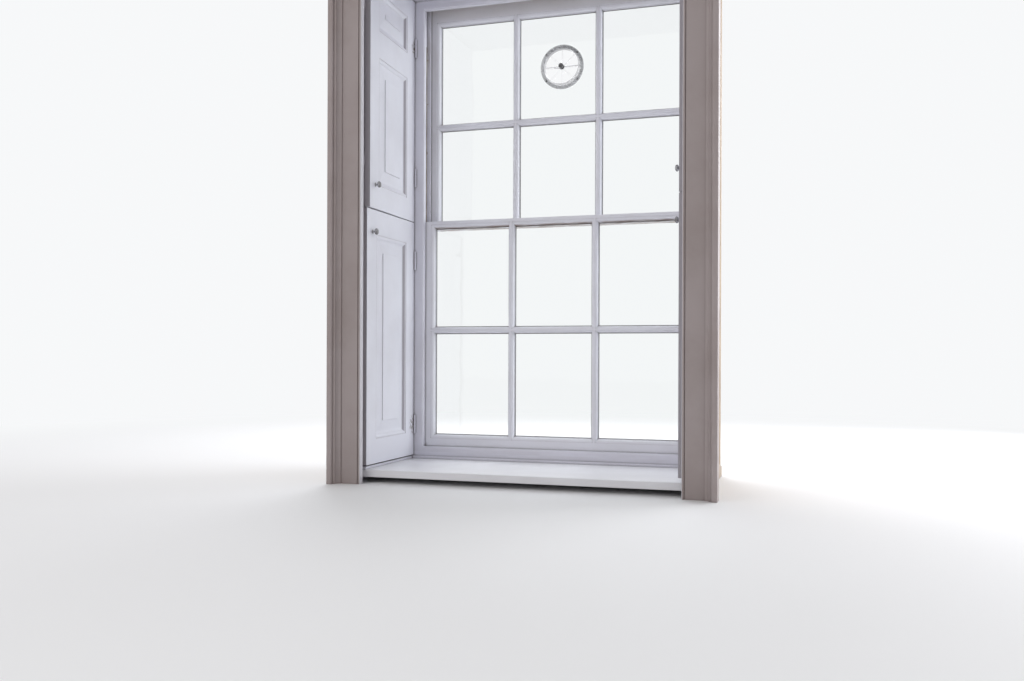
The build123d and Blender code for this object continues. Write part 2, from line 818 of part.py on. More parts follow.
def folded_flap(limits, hinges):
    low, high = limits
    middle_y = leaf_end + flap_width / 2
    face = Plane(origin=(-flap_face, middle_y, 0), x_dir=(0, 1, 0), z_dir=(1, 0, 0))
    fold_pin = (-flap_pin[0], flap_pin[1])
    frame = 32
    recess = 4
    with BuildPart() as flap:
        block((-flap_face - flap_thickness, -flap_face), (leaf_end, leaf_end + flap_width),
              (low, high))
        for depth, cut in ((0, -recess), (-flap_thickness, recess)):
            extrude(panel_sketch(face.offset(depth), (0, (low + high) / 2),
                                 flap_width - 2 * frame, high - low - 4 * frame),
                    amount=cut, mode=Mode.SUBTRACT)
        for height in hinges:
            knuckle_foot = height + fold_knuckle + joint_play
            knuckle_head = height + fold_half
            block((-flap_face, -flap_face + fold_plate), (leaf_end, leaf_end + 20),
                  (height - fold_half, knuckle_head))
            block((-flap_face, -flap_face + fold_plate), (flap_pin[1], leaf_end),
                  (knuckle_foot, knuckle_head))
            hinge_pin(fold_pin, fold_radius, knuckle_foot, knuckle_head)
    return flap


def swung(piece, pin, angle):
    axis = Axis((-pin[0], pin[1], 0), (0, 0, 1))
    turned = piece.rotate(axis, angle)
    with BuildPart() as moved:
        add(turned)
    return moved


# Turned knobs near the free edge of each leaf: a neck and a head with an eased front
knob_inset = 45
knob_neck = 4
knob_head = 11
neck_length = 9
knob_length = 20


def folded_knob(height):
    face = Plane(origin=(-leaf_face, leaf_end + knob_inset, height), x_dir=(0, 1, 0), z_dir=(1, 0, 0))
    with BuildPart() as knob:
        with BuildSketch(face):
            RegularPolygon(knob_neck, turned_sides)
        extrude(amount=neck_length)
        with BuildSketch(face.offset(neck_length)):
            RegularPolygon(knob_head, turned_sides)
        extrude(amount=knob_length - neck_length)
        chamfer(knob.edges().group_by(Axis.X)[-1], length=3)
    return knob


leaf_plans = {
    "lower": (lower_leaf, lower_panels, 945 - 78),
    "upper": (upper_leaf, upper_panels, 948 + 82),
}
for level, (limits, panels, knob_height) in leaf_plans.items():
    leaf = folded_leaf(limits, panels, leaf_hinges[level], flap_hinges[level])
    flap = folded_flap(limits, flap_hinges[level])
    knob = folded_knob(knob_height)
    for hand in ("left", "right"):
        angle = ajar[f"{hand}_{level}"]
        flap_turned = swung(flap.part, flap_pin, 2 * angle)
        pieces = {
            "leaf": swung(leaf.part, leaf_pin, angle),
            "flap": swung(flap_turned.part, leaf_pin, angle),
            "knob": swung(knob.part, leaf_pin, angle),
        }
        for name, piece in pieces.items():
            placed = mirrored(piece) if hand == "right" else piece
            save(placed, f"{hand}_{level}_{name}")

# Butt hinges: the halves that stay on the frame, with their pins
with BuildPart() as shutter_hinges:
    for side in (-1, 1):
        pin = (side * leaf_pin[0], leaf_pin[1])
        for height in (*leaf_hinges["lower"], *leaf_hinges["upper"]):
            foot = height - hinge_height / 2
            head = height + hinge_height / 2
            block(span(side, leaf_face, 560), (lining_front - hinge_plate, lining_front),
                  (foot, head))
            for low, high in ((foot, foot + knuckle), (head - knuckle, head)):
                block(span(side, leaf_pin[0], leaf_face),
                      (lining_front - hinge_plate, lining_front), (low, high))
                knuckle_tube(pin, knuckle_radius, low, high)
            hinge_pin(pin, pin_radius, foot + knuckle, head - knuckle)
save(shutter_hinges, "shutter_hinges")
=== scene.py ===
import math

import bmesh
import bpy
from mathutils import Matrix, Vector


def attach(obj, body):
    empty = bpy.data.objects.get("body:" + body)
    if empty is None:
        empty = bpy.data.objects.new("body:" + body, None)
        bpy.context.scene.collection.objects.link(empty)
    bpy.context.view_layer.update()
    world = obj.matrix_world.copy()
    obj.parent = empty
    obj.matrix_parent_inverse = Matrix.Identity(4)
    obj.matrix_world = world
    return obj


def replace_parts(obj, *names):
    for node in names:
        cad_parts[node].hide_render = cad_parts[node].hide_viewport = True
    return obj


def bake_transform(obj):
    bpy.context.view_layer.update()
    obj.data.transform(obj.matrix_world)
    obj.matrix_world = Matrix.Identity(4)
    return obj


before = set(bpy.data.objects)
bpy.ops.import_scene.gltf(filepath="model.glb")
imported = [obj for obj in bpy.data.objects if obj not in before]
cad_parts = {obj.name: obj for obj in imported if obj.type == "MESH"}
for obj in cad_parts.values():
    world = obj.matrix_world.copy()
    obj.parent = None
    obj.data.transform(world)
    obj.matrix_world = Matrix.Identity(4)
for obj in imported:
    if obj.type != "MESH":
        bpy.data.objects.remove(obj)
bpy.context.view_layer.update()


# Sill: one length of oak under the whole frame, planed to a slope towards the street, and
# painted with the rest. The paint is thick, brushed along the grain, and has painted shade in the
# corners.
def add_node(tree, kind, x, y, **values):
    shader_node = tree.nodes.new(kind)
    shader_node.location = (x, y)
    for name, value in values.items():
        setattr(shader_node, name, value)
    return shader_node


def new_finish(name):
    finish = bpy.data.materials.new(name)
    finish.use_nodes = True
    tree = finish.node_tree
    place = add_node(tree, "ShaderNodeTexCoord", -1700, 0).outputs["Object"]
    return finish, tree, tree.nodes["Principled BSDF"], place


def mix_colours(tree, factor, first, second, x, y):
    mix = add_node(tree, "ShaderNodeMix", x, y, data_type="RGBA")
    for socket, value in ((mix.inputs[0], factor), (mix.inputs[6], first), (mix.inputs[7], second)):
        if isinstance(value, bpy.types.NodeSocket):
            tree.links.new(value, socket)
        else:
            socket.default_value = value
    return mix.outputs[2]


def brushed_noise(tree, place, scale, detail, x, y, seed=0.0):
    mapping = add_node(tree, "ShaderNodeMapping", x - 200, y)
    mapping.inputs["Scale"].default_value = scale
    mapping.inputs["Location"].default_value = (seed, seed * 0.7, seed * 1.3)
    tree.links.new(place, mapping.inputs["Vector"])
    noise = add_node(tree, "ShaderNodeTexNoise", x, y)
    noise.inputs["Scale"].default_value = 1.0
    noise.inputs["Detail"].default_value = detail
    noise.inputs["Roughness"].default_value = 0.55
    tree.links.new(mapping.outputs["Vector"], noise.inputs["Vector"])
    return noise.outputs["Fac"]


def ramp(tree, factor, low, high, x, y):
    """A soft step from 0 at low to 1 at high."""
    span = add_node(tree, "ShaderNodeMapRange", x, y, interpolation_type="SMOOTHSTEP")
    span.inputs["From Min"].default_value = low
    span.inputs["From Max"].default_value = high
    tree.links.new(factor, span.inputs["Value"])
    return span.outputs["Result"]


def spread(tree, factor, low, high, x, y):
    """A factor of 0 to 1 spread evenly from low to high."""
    span = add_node(tree, "ShaderNodeMapRange", x, y)
    span.inputs["To Min"].default_value = low
    span.inputs["To Max"].default_value = high
    tree.links.new(factor, span.inputs["Value"])
    return span.outputs["Result"]


def bumped(tree, height, strength, distance, x, y):
    bump = add_node(tree, "ShaderNodeBump", x, y)
    bump.inputs["Strength"].default_value = strength
    bump.inputs["Distance"].default_value = distance
    tree.links.new(height, bump.inputs["Height"])
    return bump


def axis_of(tree, source, axis):
    place = add_node(tree, "ShaderNodeTexCoord", -1700, -1300)
    parts = add_node(tree, "ShaderNodeSeparateXYZ", -1500, -1300)
    tree.links.new(place.outputs[source], parts.inputs[0])
    return parts.outputs[axis]


def distance_from_middle(tree, axis):
    reach = add_node(tree, "ShaderNodeMath", -1300, -1300, operation="ABSOLUTE")
    tree.links.new(axis_of(tree, "Object", axis), reach.inputs[0])
    return reach.outputs[0]


def two_masks(tree, operation, first, second, x, y):
    pair = add_node(tree, "ShaderNodeMath", x, y, operation=operation)
    tree.links.new(first, pair.inputs[0])
    tree.links.new(second, pair.inputs[1])
    return pair.outputs[0]


def either(tree, first, second, x, y):
    return two_masks(tree, "MAXIMUM", first, second, x, y)


def both(tree, first, second, x, y):
    return two_masks(tree, "MULTIPLY", first, second, x, y)


def near_spots(tree, place, spots, x, y):
    """1 close to any of the spots, falling to 0 at its reach."""
    nearest = None
    for index, (spot, reach) in enumerate(spots):
        row = y + 180 * index
        distance = add_node(tree, "ShaderNodeVectorMath", x, row, operation="DISTANCE")
        distance.inputs[1].default_value = spot
        tree.links.new(place, distance.inputs[0])
        close = ramp(tree, distance.outputs["Value"], reach, reach * 0.3, x + 200, row)
        nearest = close if nearest is None else either(tree, nearest, close, x + 400, row)
    return nearest


def darker(colour, red, green, blue):
    return (colour[0] * red, colour[1] * green, colour[2] * blue, 1)


def oil_paint(name, colour, shade, along, gloss=0.42, seed=0.0, wear=0.0, chips=(),
              soiled=None, corner_dark=0.45, street=None, painted_moulding_shade=False):
    """Paint brushed along one axis. It is stone-coloured beyond the depth street, and left off
    where the frame is built in."""
    paint, tree, shader, place = new_finish(name)
    brush_scale = {"x": (6, 420, 420), "z": (420, 420, 6)}[along]
    brush = brushed_noise(tree, place, brush_scale, 3, -1200, -300, seed)
    clouds = brushed_noise(tree, place, (5, 5, 5), 5, -1200, 200, seed + 3.1)
    specks = brushed_noise(tree, place, (160, 160, 160), 2, -1200, -700, seed + 7.7)
    body_colour = mix_colours(tree, ramp(tree, clouds, 0.35, 0.7, -900, 200), colour, shade,
                              -650, 250)
    if street:
        outside = either(
            tree, ramp(tree, axis_of(tree, "Normal", "Y"), 0.25, 0.45, -1200, -1200),
            ramp(tree, axis_of(tree, "Object", "Y"), street, street + 0.001, -1200, -1400),
            -700, -1200)
        weathered = mix_colours(tree, ramp(tree, clouds, 0.3, 0.7, -900, -1000), street_stone,
                                street_stone_worn, -650, -1000)
        body_colour = mix_colours(tree, outside, body_colour, weathered, -400, -1000)
        built_in = either(
            tree, ramp(tree, distance_from_middle(tree, "X"), 0.6006, 0.6014, -900, -1700),
            ramp(tree, axis_of(tree, "Object", "Z"), 1.8066, 1.8074, -900, -1900), -700, -1800)
        grain_scale = {"x": (5, 90, 90), "z": (90, 90, 5)}[along]
        grain = brushed_noise(tree, place, grain_scale, 5, -900, -2100, seed + 4)
        bare = mix_colours(tree, ramp(tree, grain, 0.3, 0.7, -650, -2100), (0.42, 0.31, 0.205, 1),
                           (0.29, 0.20, 0.125, 1), -400, -2100)
        body_colour = mix_colours(tree, built_in, body_colour, bare, -200, -1500)
    # Painted shade: moulding faces turned away from the glass are darkened as if out of the light.
    if painted_moulding_shade:
        turned_from_glass = ramp(tree, axis_of(tree, "Normal", "Y"), -0.10, -0.40, -1200, -1200)
        panel_mouldings = ramp(tree, axis_of(tree, "Object", "Y"), 0.040, 0.047, -1200, -1400)
        leaf_nose = ramp(tree, axis_of(tree, "Object", "Y"), -0.249, -0.252, -1200, -1600)
        painted_shade = both(tree, turned_from_glass,
                    either(tree, panel_mouldings, leaf_nose, -900, -1500), -700, -1300)
        body_colour = mix_colours(tree, painted_shade, body_colour, darker(shade, 0.56, 0.53, 0.54),
                                  -400, -1200)
    # Painted shade: ambient occlusion darkens the paint in corners, joints and recesses.
    corners = add_node(tree, "ShaderNodeAmbientOcclusion", -900, 600)
    corners.inputs["Distance"].default_value = 0.012
    corners.samples = 8
    corner_mask = ramp(tree, corners.outputs["AO"], 0.25, 0.85, -700, 600)
    painted_corner_shade = darker(shade, corner_dark, corner_dark * 0.96, corner_dark * 0.94)
    surface = mix_colours(tree, corner_mask, painted_corner_shade, body_colour, -400, 350)
    if soiled:
        low, high = soiled
        band = ramp(tree, axis_of(tree, "Object", "Z"), high, low, -1200, 2200)
        streaks = ramp(tree, brushed_noise(tree, place, (16, 60, 200), 4, -1200, 2500, seed + 23),
                       0.3, 0.62, -900, 2500)
        surface = mix_colours(tree, both(tree, band, streaks, -650, 2300), surface,
                              (0.27, 0.20, 0.165, 1), -150, 600)
    if wear:
        worn = ramp(tree, brushed_noise(tree, place, (38, 38, 22), 6, -1200, 900, seed + 11),
                    0.72 - wear, 0.735 - wear, -900, 900)
        surface = mix_colours(tree, worn, surface, (0.30, 0.20, 0.13, 1), -150, 350)
    if chips:
        flaking = ramp(tree, brushed_noise(tree, place, (150, 150, 90), 5, -1200, 1300, seed + 17),
                       0.50, 0.53, -900, 1300)
        flaked = both(tree, flaking, near_spots(tree, place, chips, -1500, 1700), -650, 1300)
        surface = mix_colours(tree, flaked, surface, (0.16, 0.12, 0.09, 1), 50, 350)
    tree.links.new(surface, shader.inputs["Base Color"])
    tree.links.new(spread(tree, clouds, gloss - 0.08, gloss + 0.12, -400, -100),
                   shader.inputs["Roughness"])
    fine = bumped(tree, brush, 0.35, 0.0006, -400, -350)
    coarse = bumped(tree, specks, 0.25, 0.0008, -150, -350)
    tree.links.new(fine.outputs["Normal"], coarse.inputs["Normal"])
    tree.links.new(coarse.outputs["Normal"], shader.inputs["Normal"])
    return paint


def dress(names, material):
    for name in names:
        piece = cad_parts[name]
        piece.data.materials.clear()
        piece.data.materials.append(material)


street_stone = (0.47, 0.465, 0.455, 1)
street_stone_worn = (0.40, 0.39, 0.375, 1)
frame_white = (0.755, 0.75, 0.825, 1)
frame_shade = (0.695, 0.685, 0.745, 1)
upper_sash_front = 0.2170
frame_back = 0.2705
paint_across = oil_paint("frame_paint_across", frame_white, frame_shade, "x", seed=1.0,
                         street=upper_sash_front)
paint_up = oil_paint("frame_paint_up", frame_white, frame_shade, "z", seed=2.0, street=frame_back)
dress(["sill", "head_inner_lining", "head_outer_lining"], paint_across)


# Box frame: softwood pulley stiles, linings and thin backs nailed up into two hollow boxes.
# Only the faces towards the opening are painted; the insides are bare, brown with age.
def bare_wood(name, along):
    wood, tree, shader, place = new_finish(name)
    grain_scale = {"x": (4, 130, 130), "z": (130, 130, 4)}[along]
    grain = brushed_noise(tree, place, grain_scale, 6, -1000, 0, 5.0)
    stain = brushed_noise(tree, place, (9, 9, 9), 4, -1000, 300, 9.0)
    tone = mix_colours(tree, ramp(tree, grain, 0.3, 0.7, -700, 0), (0.44, 0.33, 0.22, 1),
                       (0.29, 0.20, 0.12, 1), -450, 0)
    dusty = mix_colours(tree, ramp(tree, stain, 0.4, 0.75, -700, 300), tone,
                        (0.24, 0.17, 0.12, 1), -250, 100)
    tree.links.new(dusty, shader.inputs["Base Color"])
    shader.inputs["Roughness"].default_value = 0.8
    tree.links.new(bumped(tree, grain, 0.4, 0.001, -250, -250).outputs["Normal"],
                   shader.inputs["Normal"])
    return wood


bare_up = bare_wood("bare_softwood_up", "z")
bare_across = bare_wood("bare_softwood_across", "x")
dress(["left_pulley_stile", "right_pulley_stile", "left_inner_lining", "right_inner_lining",
       "left_outer_lining", "right_outer_lining"], paint_up)
dress(["back_linings", "parting_slips"], bare_up)
dress(["head_board"], bare_across)


# Pulleys: cast iron wheels on fixed pins, in brass cases let into the stiles behind a face plate
# with two screws. All of it is tarnished brown.
def metal(name, colour, dark, roughness, metallic=1.0, grain=220):
    finish, tree, shader, place = new_finish(name)
    patches = brushed_noise(tree, place, (60, 60, 60), 5, -900, 100, 4.0)
    pits = brushed_noise(tree, place, (grain, grain, grain), 4, -900, -250, 8.0)
    tone = mix_colours(tree, ramp(tree, patches, 0.38, 0.68, -600, 100), colour, dark, -350, 100)
    tree.links.new(tone, shader.inputs["Base Color"])
    shader.inputs["Metallic"].default_value = metallic
    tree.links.new(spread(tree, patches, roughness - 0.1, roughness + 0.2, -350, -100),
                   shader.inputs["Roughness"])
    tree.links.new(bumped(tree, pits, 0.3, 0.0006, -350, -350).outputs["Normal"],
                   shader.inputs["Normal"])
    return finish


MM = 0.001


def select_only(piece):
    bpy.ops.object.select_all(action="DESELECT")
    piece.select_set(True)
    bpy.context.view_layer.objects.active = piece


def leave_shell(merge=True):
    """Leave edit mode with doubles merged and every face turned outwards."""
    bpy.ops.mesh.select_all(action="SELECT")
    if merge:
        bpy.ops.mesh.remove_doubles(threshold=0.02 * MM)
    bpy.ops.mesh.normals_make_consistent(inside=False)
    bpy.ops.object.mode_set(mode="OBJECT")


def turned(name, outline, centre, axis, steps=40):
    """Spin an outline of (radius, height) millimetres about an axis through centre."""
    out = Vector((0, 0, 1)) if abs(axis[0]) > 0.5 else Vector((1, 0, 0))
    points = [Vector(centre) + (out * radius + Vector(axis) * height) * MM
              for radius, height in outline]
    bpy.ops.object.select_all(action="DESELECT")
    bpy.ops.mesh.primitive_plane_add(size=MM, location=(0, 0, 0))
    piece = bpy.context.object
    piece.name = name
    bpy.ops.object.mode_set(mode="EDIT")
    bpy.ops.mesh.merge(type="CENTER")
    bpy.ops.transform.translate(value=points[0])
    for start, end in zip(points, points[1:]):
        bpy.ops.mesh.extrude_region_move(TRANSFORM_OT_translate={"value": end - start})
    bpy.ops.mesh.select_all(action="SELECT")
    bpy.ops.mesh.spin(steps=steps, angle=2 * math.pi, center=centre, axis=axis)
    leave_shell()
    return piece


def slab(name, low, high, edge=0.0):
    """A box between two corners in millimetres, its edges eased."""
    bpy.ops.object.select_all(action="DESELECT")
    bpy.ops.mesh.primitive_cube_add(size=1, location=(0, 0, 0))
    piece = bpy.context.object
    piece.name = name
    piece.scale = [(b - a) * MM for a, b in zip(low, high)]
    piece.location = [(a + b) / 2 * MM for a, b in zip(low, high)]
    bpy.ops.object.transform_apply(location=True, rotation=True, scale=True)
    if edge:
        bpy.ops.object.mode_set(mode="EDIT")
        bpy.ops.mesh.select_all(action="SELECT")
        bpy.ops.mesh.bevel(offset=edge * MM, segments=2, affect="EDGES")
        bpy.ops.object.mode_set(mode="OBJECT")
    return piece


def placed_copy(piece, name, place):
    select_only(piece)
    bpy.ops.object.duplicate(linked=False)
    twin = bpy.context.object
    twin.name = name
    twin.matrix_world = place
    bpy.ops.object.transform_apply(location=True, rotation=True, scale=True)
    bpy.ops.object.mode_set(mode="EDIT")
    leave_shell(merge=False)
    return twin


def joined(name, pieces):
    select_only(pieces[0])
    for piece in pieces:
        piece.select_set(True)
    bpy.ops.object.join()
    pieces[0].name = name
    return pieces[0]


def cut_away(piece, cutter):
    select_only(piece)
    hole = piece.modifiers.new("hole", "BOOLEAN")
    hole.operation = "DIFFERENCE"
    hole.solver = "EXACT"
    hole.object = cutter
    bpy.ops.object.modifier_apply(modifier=hole.name)
    bpy.data.objects.remove(cutter)


def finished(piece, material, body=None, smooth=35):
    select_only(piece)
    piece.data.materials.clear()
    piece.data.materials.append(material)
    bpy.ops.object.shade_smooth_by_angle(angle=math.radians(smooth))
    if body:
        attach(piece, body)
    return piece


dress(["pulley_cases"], metal("old_brass", (0.62, 0.46, 0.20, 1), (0.30, 0.21, 0.11, 1), 0.4))
pulley_iron = metal("pulley_iron", (0.30, 0.28, 0.27, 1), (0.13, 0.10, 0.08, 1), 0.45)
wheel_side = [(3.3, 7), (7.2, 7), (8.6, 6), (9.2, 4), (10.5, 3.2), (19.5, 3.2), (20.8, 4),
              (21.6, 6), (23, 7), (28.2, 7), (29, 6.2), (29, 4.6), (28.5, 3.9), (27.2, 3.6),
              (25.4, 3.0), (24.2, 1.8)]
groove_bottom = (23.7, 0)
wheel_outline = [(radius, -height) for radius, height in wheel_side]
wheel_outline += [groove_bottom] + wheel_side[::-1] + wheel_outline[:1]
pulley_height = 1.616
pulley_reach = 0.5375
stile_face = 517.5
channels = {"lower": 0.1955, "upper": 0.2485}
sides = {"left": -1, "right": 1}
wheel = turned("pulley_wheel", wheel_outline, (0, 0, 0), (0, 1, 0), 48)
for sash, channel in channels.items():
    for hand, side in sides.items():
        node = f"{sash}_sash_{hand}_pulley"
        place = Matrix.Translation((side * pulley_reach, channel, pulley_height))
        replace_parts(finished(placed_copy(wheel, f"{node}_wheel", place), pulley_iron, node), node)
bpy.data.objects.remove(wheel)

screw = turned("screw_head", [
    (0, 0.7), (1.6, 0.65), (2.9, 0.42), (3.6, 0.15), (3.7, 0), (3.0, -0.8), (0, -0.8)],
    (0, 0, 0), (0, 0, 1), 20)
cut_away(screw, slab("slot", (-0.45, -5, 0.1), (0.45, 5, 2)))


def screws(name, places, facing, size=1.0, proud=1.0):
    heads = []
    for index, place in enumerate(places):
        turn = Vector(facing).to_track_quat("Z", "Y").to_matrix().to_4x4()
        slot_turn = Matrix.Rotation(0.7 + 1.9 * index, 4, "Z")
        shape = Matrix.Diagonal((size, size, size * proud, 1))
        spot = Matrix.Translation([value * MM for value in place])
        heads.append(placed_copy(screw, f"{name}_{index}", spot @ turn @ slot_turn @ shape))
    return joined(name, heads)


screw_steel = metal("screw_steel", (0.34, 0.31, 0.28, 1), (0.16, 0.12, 0.09, 1), 0.45)
plate_screws = [screws(f"{hand}_plate_screws", [
    (side * stile_face, channel / MM, pulley_height / MM + rise)
    for channel in channels.values() for rise in (-45, 45)], (-side, 0, 0))
    for hand, side in sides.items()]
finished(joined("pulley_plate_screws", plate_screws), screw_steel, "frame")

# Weights: bars of sand-cast iron, dark and dry, with a bloom of rust. Two hang in each box, out
# of sight, and balance the sashes.
weight_iron = metal("cast_weight_iron", (0.09, 0.08, 0.075, 1), (0.17, 0.085, 0.045, 1), 0.75,
                    metallic=0.6, grain=400)
dress([f"{sash}_sash_{hand}_weight" for sash in channels for hand in sides], weight_iron)


# Cords: waxed cotton, grey with handling, nailed into grooves in the sash edges and knotted to
# the weights. Each lies over half of its wheel and is held tight by the weight.
def cotton(name):
    cord, tree, shader, place = new_finish(name)
    weave = brushed_noise(tree, place, (900, 900, 500), 2, -900, 0, 2.0)
    handling = brushed_noise(tree, place, (30, 30, 14), 4, -900, 300, 6.0)
    tone = mix_colours(tree, ramp(tree, handling, 0.35, 0.7, -600, 300), (0.40, 0.35, 0.28, 1),
                       (0.22, 0.18, 0.14, 1), -350, 200)
    tree.links.new(tone, shader.inputs["Base Color"])
    shader.inputs["Roughness"].default_value = 0.9
    tree.links.new(bumped(tree, weave, 0.6, 0.001, -350, -200).outputs["Normal"],
                   shader.inputs["Normal"])
    return cord


def cord_run(name, x, y, low):
    """A straight cord from the wheel down to low, its upper end open and selected."""
    bpy.ops.object.select_all(action="DESELECT")
    bpy.ops.mesh.primitive_circle_add(vertices=14, radius=cord_radius,
                                      location=(x, y, pulley_height))
    bpy.ops.object.transform_apply(location=True, rotation=True, scale=True)
    run = bpy.context.object
    run.name = name
    bpy.ops.object.mode_set(mode="EDIT")
    bpy.ops.mesh.select_all(action="SELECT")
    bpy.ops.mesh.extrude_region_move(
        TRANSFORM_OT_translate={"value": (0, 0, low - pulley_height)})
    bpy.ops.mesh.edge_face_add()
    shape = bmesh.from_edit_mesh(run.data)
    bpy.ops.mesh.select_all(action="DESELECT")
    for vertex in shape.verts:
        vertex.select_set(abs(vertex.co.z - pulley_height) < 0.01 * MM)
    shape.select_flush_mode()
    for edge in shape.edges:
        edge.select_set(all(end.select for end in edge.verts))
    bmesh.update_edit_mesh(run.data)
    return run


cord_radius = 0.0029
front_run = 0.5105
weight_run = 0.5645
tied = {"lower": 0.735, "upper": 1.440}
weight_tops = {"lower": 1.492, "upper": 0.700}
cord_cotton = cotton("sash_cord")
for sash, channel in channels.items():
    halves = []
    for hand, side in sides.items():
        half = cord_run(f"{sash}_{hand}_cord", side * front_run, channel, tied[sash])
        bpy.ops.mesh.spin(steps=18, angle=-math.pi, axis=(0, side, 0),
                          center=(side * pulley_reach, channel, pulley_height))
        bpy.ops.mesh.edge_face_add()
        leave_shell()
        halves.append(half)
    cord = finished(joined(f"{sash}_sash_front_cords", halves), cord_cotton, smooth=60)
    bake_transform(cord)
    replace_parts(cord, f"{sash}_sash_cords")
    for hand, side in sides.items():
        drop = cord_run(f"{sash}_sash_{hand}_weight_cord", side * weight_run, channel,
                        weight_tops[sash])
        bpy.ops.mesh.edge_face_add()
        leave_shell()
        finished(drop, cord_cotton, smooth=60)
        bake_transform(drop)
        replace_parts(drop, f"{sash}_sash_weight_cords")

# Parting beads and staff beads: loose lengths, nailed and painted in. The parting beads are
# rubbed bare in places where the sashes run.
rubbed_paint = oil_paint("rubbed_bead_paint", frame_white, frame_shade, "z", seed=5.0, wear=0.05)
dress(["parting_beads"], rubbed_paint)
dress(["staff_beads"], paint_up)

# Sashes: stiles, rails and thin bars of moulded softwood, tenoned and pegged, under many coats of
# white. Where the two meeting rails rub, the paint is worn and soiled.
sash_white = (0.83, 0.83, 0.885, 1)
sash_shade = (0.785, 0.78, 0.825, 1)
sash_paint_up = oil_paint("sash_paint_up", sash_white, sash_shade, "z", seed=7.0, street=frame_back)
sash_paint_across = oil_paint("sash_paint_across", sash_white, sash_shade, "x", seed=8.0,
                              street=frame_back)
worn_meeting_paint = oil_paint("worn_meeting_paint", sash_white, sash_shade, "x", seed=9.5,
                               wear=0.015, soiled=(0.924, 0.931), street=frame_back)
dress([f"{sash}_sash_{piece}" for sash in channels
       for piece in ("left_stile", "right_stile", "glazing_bars")], sash_paint_up)
dress(["lower_sash_bottom_rail", "upper_sash_top_rail"], sash_paint_across)
dress(["lower_sash_meeting_rail", "upper_sash_meeting_rail"], worn_meeting_paint)


# Putty: linseed putty run round each pane from the street side and struck to a slope, painted
# over. The top panes of the lower sash slide up into a groove and have it on three sides.
def pane_sheet(name, left, right, low, high, face):
    """An upright sheet between millimetres, left in edit mode with all of it selected."""
    bpy.ops.object.select_all(action="DESELECT")
    bpy.ops.mesh.primitive_plane_add(size=1, location=(0, 0, 0),
                                     rotation=(math.radians(90), 0, 0))
    sheet = bpy.context.object
    sheet.name = name
    bpy.ops.object.transform_apply(location=True, rotation=True, scale=True)
    sheet.scale = ((right - left) * MM, 1, (high - low) * MM)
    sheet.location = ((left + right) / 2 * MM, face * MM, (low + high) / 2 * MM)
    bpy.ops.object.transform_apply(location=True, rotation=True, scale=True)
    bpy.ops.object.mode_set(mode="EDIT")
    bpy.ops.mesh.select_all(action="SELECT")
    return sheet


def putty_ring(name, left, right, low, high, glass_back, cut_top):
    rebate = 8
    lap = 7
    depth = 13.2
    thin_edge = 0.8
    ring = pane_sheet(name, left - rebate, right + rebate, low - rebate, high + rebate, glass_back)
    bpy.ops.mesh.inset(thickness=lap * MM)
    bpy.ops.mesh.delete(type="ONLY_FACE")
    bpy.ops.mesh.select_all(action="SELECT")
    bpy.ops.mesh.extrude_region_move(TRANSFORM_OT_translate={"value": (0, depth * MM, 0)})
    shape = bmesh.from_edit_mesh(ring.data)
    bpy.ops.mesh.select_all(action="DESELECT")
    for vertex in shape.verts:
        across = max(abs(vertex.co.x / MM - (left + right) / 2) - (right - left) / 2,
                     abs(vertex.co.z / MM - (low + high) / 2) - (high - low) / 2)
        vertex.select_set(across < 4 and vertex.co.y / MM > glass_back + 1)
    bmesh.update_edit_mesh(ring.data)
    bpy.ops.transform.translate(value=(0, -(depth - thin_edge) * MM, 0))
    if cut_top:
        bpy.ops.mesh.select_all(action="SELECT")
        bpy.ops.mesh.bisect(plane_co=(0, 0, cut_top * MM), plane_no=(0, 0, 1), clear_outer=True,
                            use_fill=True)
    leave_shell(merge=False)
    return ring


putty_paint = oil_paint("putty_paint", (0.45, 0.445, 0.435, 1), (0.36, 0.35, 0.335, 1), "z",
                        seed=10.0, gloss=0.5)
pane_rows = {"lower": ((136, 522, None), (547, 924, 924)),
             "upper": ((951, 1310, None), (1335, 1715, None))}
pane_pitch = 319
half_pane = 147
pane_sides = {column: (column * pane_pitch - half_pane, column * pane_pitch + half_pane)
              for column in (-1, 0, 1)}
glass_backs = {"lower": 200.55, "upper": 253.55}
for sash, rows in pane_rows.items():
    rings = [putty_ring(f"{sash}_putty_{column}_{low}", left, right, low, high,
                        glass_backs[sash], cut_top)
             for low, high, cut_top in rows for column, (left, right) in pane_sides.items()]
    finished(joined(f"{sash}_sash_putty", rings), putty_paint, f"{sash}_sash", 20)


# Bedding putty: the soft putty that the glass was pressed into. It shows on the inner side as a
# thin line round every pane, coloured near-black so that it darkens the sight edges.
def bedding_line(name, left, right, low, high, glass_front):
    width = 2.3
    depth = 1.5
    line = pane_sheet(name, left, right, low, high, glass_front)
    bpy.ops.mesh.inset(thickness=width * MM)
    bpy.ops.mesh.delete(type="ONLY_FACE")
    bpy.ops.mesh.select_all(action="SELECT")
    bpy.ops.mesh.subdivide(number_cuts=5)
    bpy.ops.mesh.extrude_region_move(TRANSFORM_OT_translate={"value": (0, -depth * MM, 0)})
    bpy.ops.transform.vertex_random(offset=0.35 * MM, seed=3)
    leave_shell(merge=False)
    return line


# Near-black, so that each pane's sight edge reads as a dark line.
bedding_putty = oil_paint("bedding_putty", (0.20, 0.19, 0.19, 1), (0.32, 0.31, 0.31, 1), "z",
                          seed=11.0, gloss=0.6)
glass_fronts = {"lower": 197.45, "upper": 250.45}
for sash, rows in pane_rows.items():
    lines = [bedding_line(f"{sash}_bedding_{column}_{low}", left, right, low, high,
                          glass_fronts[sash])
             for low, high, _ in rows for column, (left, right) in pane_sides.items()]
    finished(joined(f"{sash}_sash_bedding_putty", lines), bedding_putty, f"{sash}_sash", 40)


